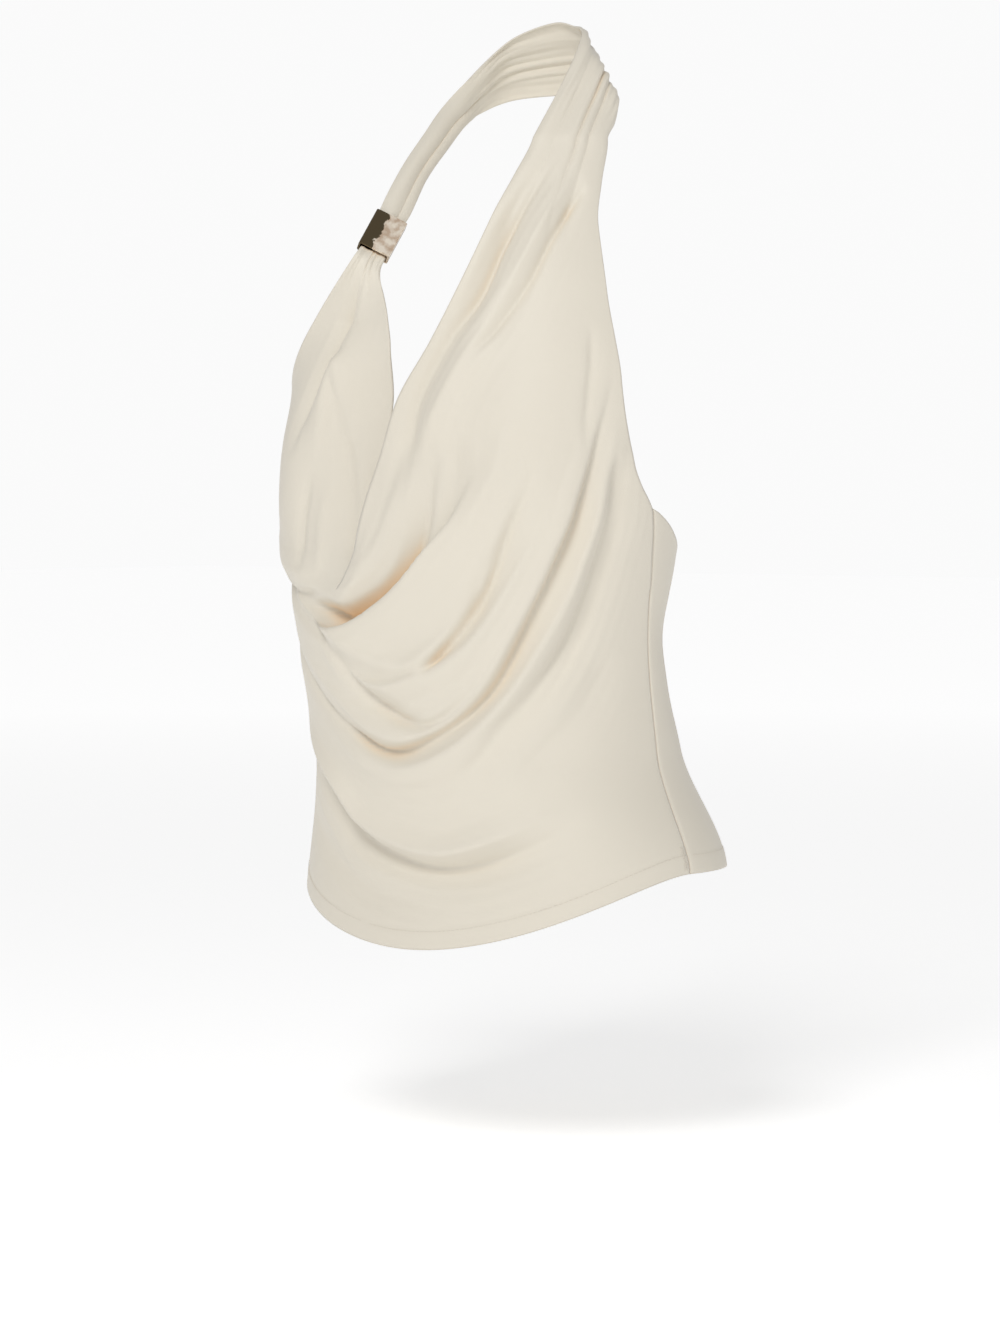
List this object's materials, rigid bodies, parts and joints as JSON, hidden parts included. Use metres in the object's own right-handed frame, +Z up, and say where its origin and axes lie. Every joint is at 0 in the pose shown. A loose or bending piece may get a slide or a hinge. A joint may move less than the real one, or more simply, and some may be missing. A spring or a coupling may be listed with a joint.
{
  "type": "halter neck top",
  "caption": "Draped cowl-front halter top in pale jersey, with a wide gathered strap round the nape and a rectangular metal slide ring, held in its worn form.",
  "frame": {"origin": "inside face of the neck band at the nape, where the wearer holds the top up", "axes": "+X to the wearer's left, -Y to the front, +Z up"},
  "size_m": [0.2946, 0.2418, 0.596],
  "materials": {
    "jersey": "fine satin-faced jersey, soft sheen",
    "ring_metal": "polished champagne plate"
  },
  "bodies": {
    "root": {"front_panel": "jersey", "back_panel": "jersey", "neck_strap": "jersey", "slide_ring": "ring_metal"}
  },
  "joints": []
}
